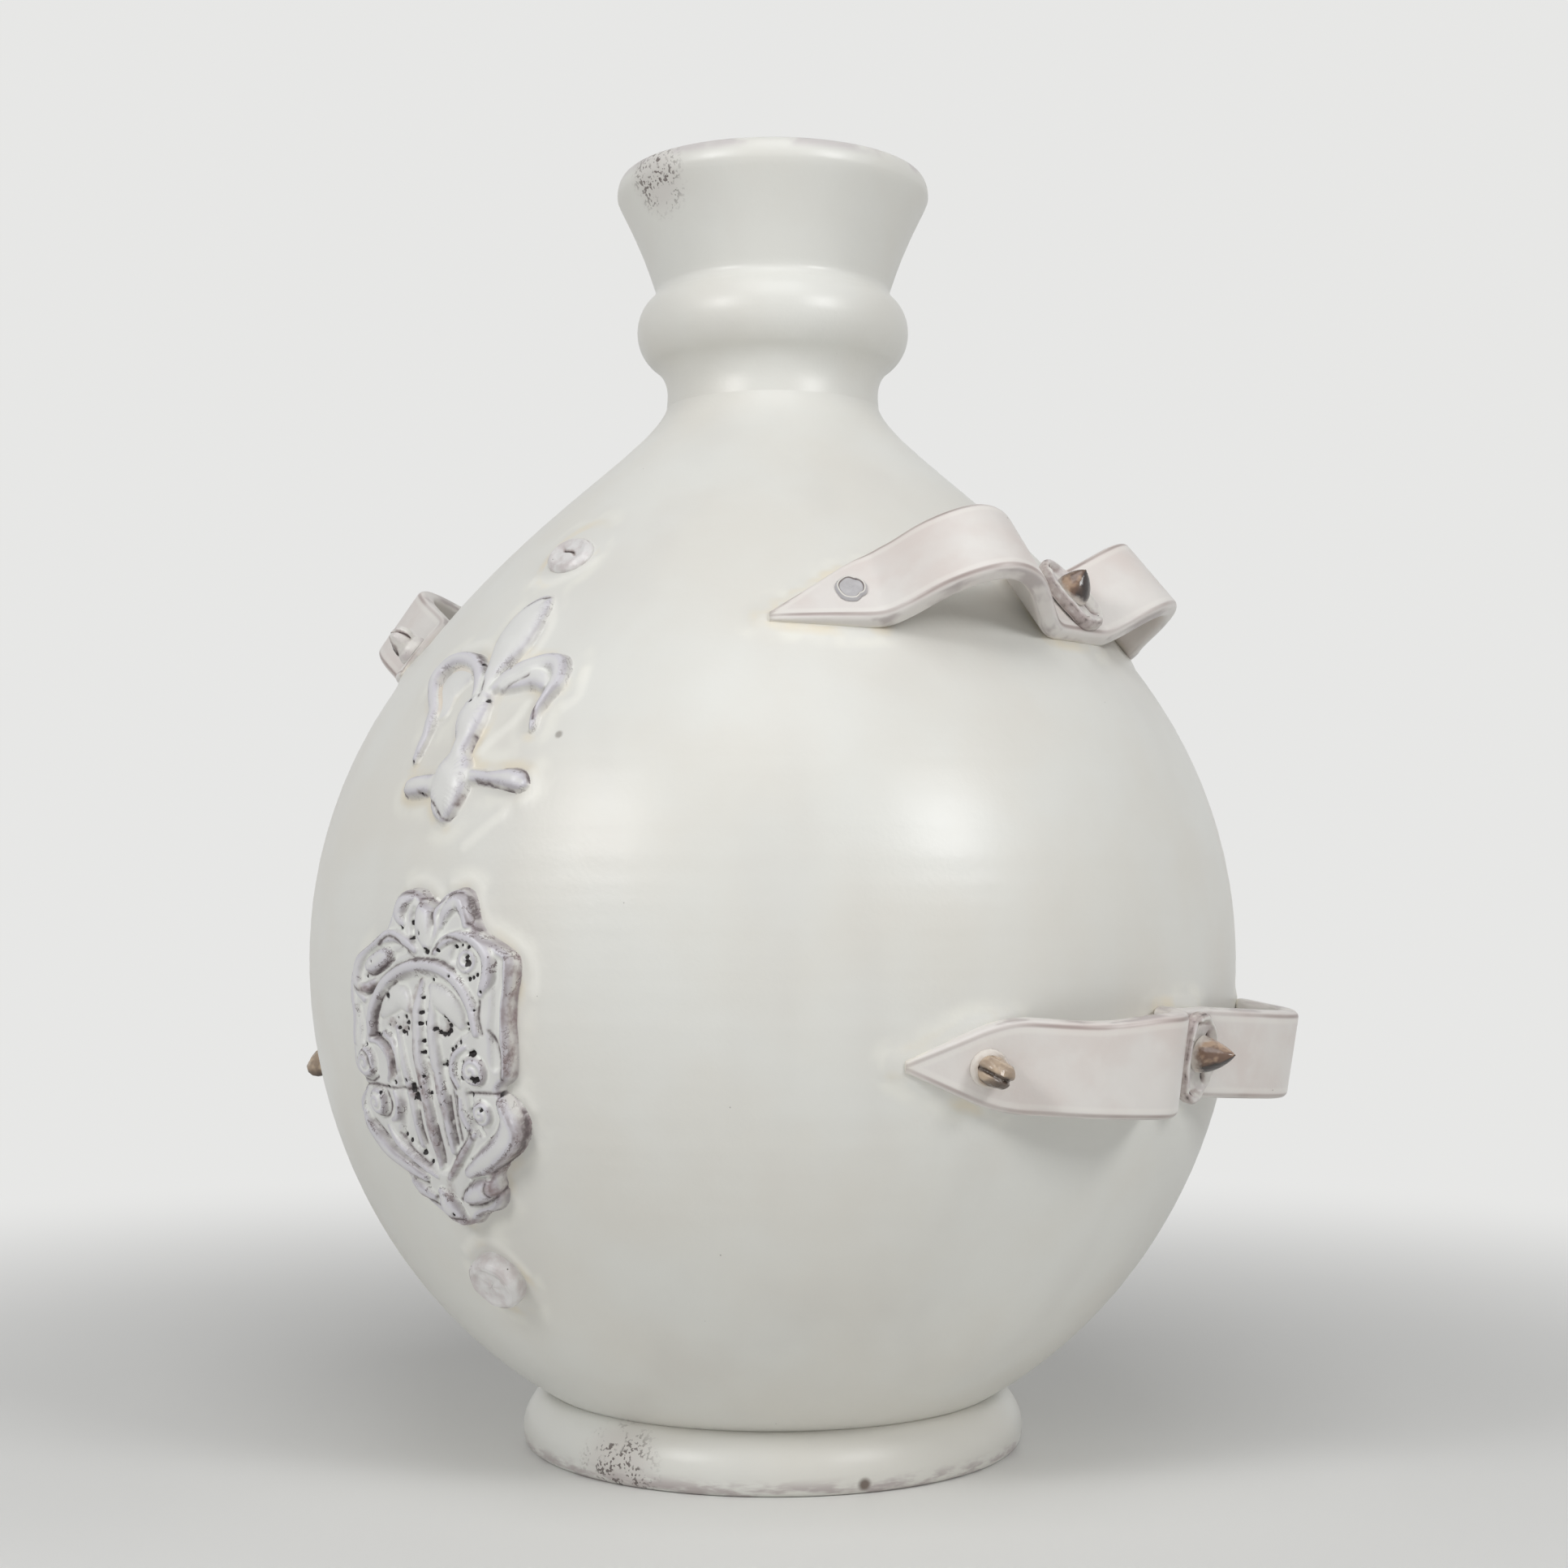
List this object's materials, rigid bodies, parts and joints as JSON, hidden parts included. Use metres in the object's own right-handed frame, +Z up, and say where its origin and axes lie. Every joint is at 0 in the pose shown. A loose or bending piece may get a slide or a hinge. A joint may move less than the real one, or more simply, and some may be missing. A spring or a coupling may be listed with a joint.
{
  "type": "globe vase with strap handles",
  "caption": "White glazed globe vase with a beaded neck, a flared mouth, arched straps with thorns, and a lily and scrolled shield in relief.",
  "frame": {"origin": "on the table plane, under the middle of the foot ring", "axes": "+Z up the vase's axis, -Y out of the front that carries the lily and the shield, +X to the right as that front is faced"},
  "size_m": [0.3271, 0.2963, 0.4],
  "materials": {
    "white_glaze": "warm white gloss glaze",
    "strap_glaze": "white glaze with a pink flush, gloss",
    "thin_glaze": "thin lilac grey glaze over relief, brown where it breaks on edges",
    "bronze_glaze": "brown glaze with a dull metallic sheen"
  },
  "bodies": {
    "root": {"bottom_left_roll": "thin_glaze", "bottom_roll": "thin_glaze", "bottom_tip": "thin_glaze", "crown_leaf": "thin_glaze", "crown_left_lobe": "thin_glaze", "crown_right_lobe": "thin_glaze", "foot_ring": "white_glaze", "globe_body": "white_glaze", "left_frame": "thin_glaze", "left_lower_front_stud": "bronze_glaze", "left_lower_keeper": "thin_glaze", "left_lower_rear_stud": "bronze_glaze", "left_lower_spike": "bronze_glaze", "left_lower_strap": "strap_glaze", "left_upper_front_stud": "bronze_glaze", "left_upper_keeper": "thin_glaze", "left_upper_rear_stud": "bronze_glaze", "left_upper_spike": "bronze_glaze", "left_upper_strap": "strap_glaze", "lily_centre_petal": "thin_glaze", "lily_left_petal": "thin_glaze", "lily_left_toe": "thin_glaze", "lily_right_petal": "thin_glaze", "lily_right_toe": "thin_glaze", "lily_stem": "thin_glaze", "lower_button": "thin_glaze", "lower_left_volute": "thin_glaze", "lower_right_volute": "thin_glaze", "middle_left_volute": "thin_glaze", "middle_right_volute": "thin_glaze", "mouth_funnel": "white_glaze", "neck_collar": "white_glaze", "right_horn": "thin_glaze", "right_lower_front_stud": "bronze_glaze", "right_lower_keeper": "thin_glaze", "right_lower_rear_stud": "bronze_glaze", "right_lower_spike": "bronze_glaze", "right_lower_strap": "strap_glaze", "right_upper_front_stud": "thin_glaze", "right_upper_keeper": "thin_glaze", "right_upper_rear_stud": "bronze_glaze", "right_upper_spike": "bronze_glaze", "right_upper_strap": "strap_glaze", "shield_left_rib": "thin_glaze", "shield_middle_rib": "thin_glaze", "shield_plate": "thin_glaze", "shield_right_rib": "thin_glaze", "shield_rim": "thin_glaze", "upper_button": "thin_glaze", "upper_left_boss": "thin_glaze", "upper_left_scroll": "thin_glaze", "upper_right_boss": "thin_glaze", "upper_right_scroll": "thin_glaze"}
  },
  "joints": []
}
